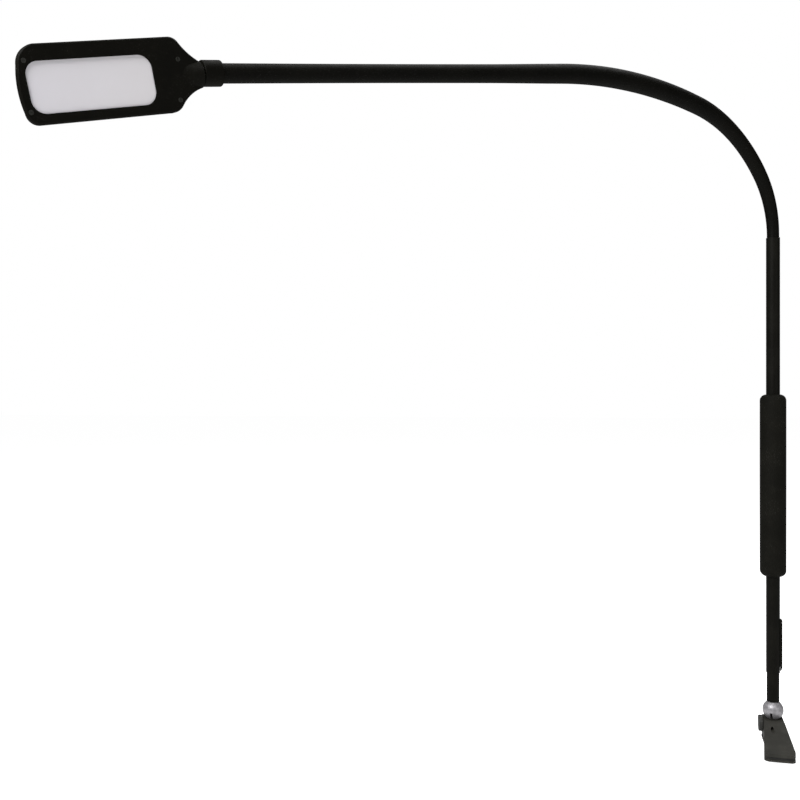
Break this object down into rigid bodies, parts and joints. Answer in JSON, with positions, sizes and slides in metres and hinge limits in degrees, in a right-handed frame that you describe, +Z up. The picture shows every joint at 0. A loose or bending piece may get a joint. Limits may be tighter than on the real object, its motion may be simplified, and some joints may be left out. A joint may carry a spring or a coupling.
{
  "type": "clip on reading lamp",
  "caption": "Clip-on reading lamp with a spring clip, ball jointed telescoping pole, battery grip, long gooseneck and a slim rectangular lit head.",
  "frame": {"origin": "centre of the grip, where the two jaw pads meet", "axes": "+Z up along the pole, -Y out along the jaws, +X to the side of the lock lever"},
  "size_m": [0.5289, 0.6091, 0.6874],
  "materials": {
    "black_plastic": "fine moulded texture",
    "soft_black": "soft-touch matt",
    "painted_tube": "satin black",
    "silicone": "smooth silicone with a soft sheen",
    "jaw_rubber": "ribbed, matt",
    "bare_steel": "satin",
    "brass_insert": "turned",
    "knob_black": "satin moulded",
    "head_black": "satin moulded with fine texture",
    "head_screw_steel": "satin",
    "diffuser_white": "opal, frosted",
    "guide_clear": "clear",
    "board": "solder mask",
    "spreader": "mill"
  },
  "bodies": {
    "clip": {"upper_jaw": "black_plastic", "upper_pad": "jaw_rubber", "ball_seat": "black_plastic", "jaw_pin": "bare_steel", "jaw_spring": "bare_steel", "knob_insert": "brass_insert", "socket_screw": "bare_steel"},
    "lower_jaw": {"lower_jaw": "black_plastic", "lower_pad": "jaw_rubber"},
    "lock_knob": {"lock_knob": "knob_black", "lock_screw": "bare_steel"},
    "swivel_core": {"tension_stud": "bare_steel", "tension_cup": "bare_steel"},
    "lower_pole": {"ball": "bare_steel", "ball_stem": "bare_steel", "inner_tube": "painted_tube", "tube_stop": "knob_black"},
    "upper_pole": {"lower_tube": "painted_tube", "lever_bracket": "black_plastic", "lever_pin": "bare_steel", "grip_bottom_cap": "black_plastic", "grip_sleeve": "soft_black", "grip_top_cap": "black_plastic", "cell_carrier": "black_plastic", "battery_cells": "bare_steel", "cell_contacts": "head_screw_steel", "control_board": "board", "charge_port": "head_screw_steel", "upper_tube": "painted_tube", "root_ferrule": "knob_black", "sleeve_root": "silicone", "core_root": "bare_steel"},
    "lock_lever": {"lock_lever": "black_plastic"},
    "power_button": {"power_button": "knob_black"},
    "neck_1": {"sleeve_1": "silicone", "core_1": "bare_steel"},
    "neck_2": {"sleeve_2": "silicone", "core_2": "bare_steel"},
    "neck_3": {"sleeve_3": "silicone", "core_3": "bare_steel"},
    "neck_4": {"sleeve_4": "silicone", "core_4": "bare_steel", "head_collar": "head_black"},
    "head": {"head_back": "head_black", "head_bezel": "head_black", "head_spigot": "bare_steel", "diffuser": "diffuser_white", "light_guide": "guide_clear", "reflector_sheet": "diffuser_white", "led_strip": "board", "heat_spreader": "spreader", "head_screws": "head_screw_steel"}
  },
  "joints": [
    {"name": "jaw_open", "type": "hinge", "parent": "clip", "child": "lower_jaw", "pos_m": [0, 0.05, 0.0025], "axis": [1, 0, 0], "range_deg": [0, 20], "stiffness_Nm_per_rad": 1.6, "springref_deg": -20.05},
    {"name": "knob_turn", "type": "hinge", "parent": "clip", "child": "lock_knob", "pos_m": [-0.0106, 0.04, 0.0146], "axis": [-1, 0, 0], "range_deg": [-180, 180]},
    {"name": "ball_swivel", "type": "hinge", "parent": "clip", "child": "swivel_core", "pos_m": [0, 0.04, 0.03], "axis": [0, 0, 1], "range_deg": [-170, 170]},
    {"name": "ball_tilt", "type": "hinge", "parent": "swivel_core", "child": "lower_pole", "pos_m": [0, 0.04, 0.03], "axis": [0.9563, -0.2924, 0], "range_deg": [-15, 60]},
    {"name": "pole_slide", "type": "slide", "parent": "lower_pole", "child": "upper_pole", "axis": [0, 0, 1], "range_m": [-0.025, 0.045]},
    {"name": "lever_flip", "type": "hinge", "parent": "upper_pole", "child": "lock_lever", "pos_m": [0.0083, 0.04, 0.1238], "axis": [0, -1, 0], "range_deg": [0, 80]},
    {"name": "power_press", "type": "slide", "parent": "upper_pole", "child": "power_button", "axis": [0, -1, 0], "range_m": [0, 0.0008], "stiffness_N_per_m": 400},
    {"name": "bend_1", "type": "hinge", "parent": "upper_pole", "child": "neck_1", "pos_m": [-0.01461, 0.02377, 0.59867], "axis": [0.7431, -0.6691, 0], "range_deg": [-25, 25]},
    {"name": "bend_2", "type": "hinge", "parent": "neck_1", "child": "neck_2", "pos_m": [-0.08042, -0.04932, 0.65586], "axis": [0.7431, -0.6691, 0], "range_deg": [-25, 25]},
    {"name": "bend_3", "type": "hinge", "parent": "neck_2", "child": "neck_3", "pos_m": [-0.20236, -0.18475, 0.65411], "axis": [0.7431, -0.6691, 0], "range_deg": [-25, 25]},
    {"name": "bend_4", "type": "hinge", "parent": "neck_3", "child": "neck_4", "pos_m": [-0.34186, -0.33968, 0.61565], "axis": [0.7431, -0.6691, 0], "range_deg": [-25, 25]},
    {"name": "head_twist", "type": "hinge", "parent": "neck_4", "child": "head", "pos_m": [-0.42083, -0.42738, 0.59389], "axis": [-0.658, -0.7308, -0.1814], "range_deg": [-120, 120]}
  ]
}
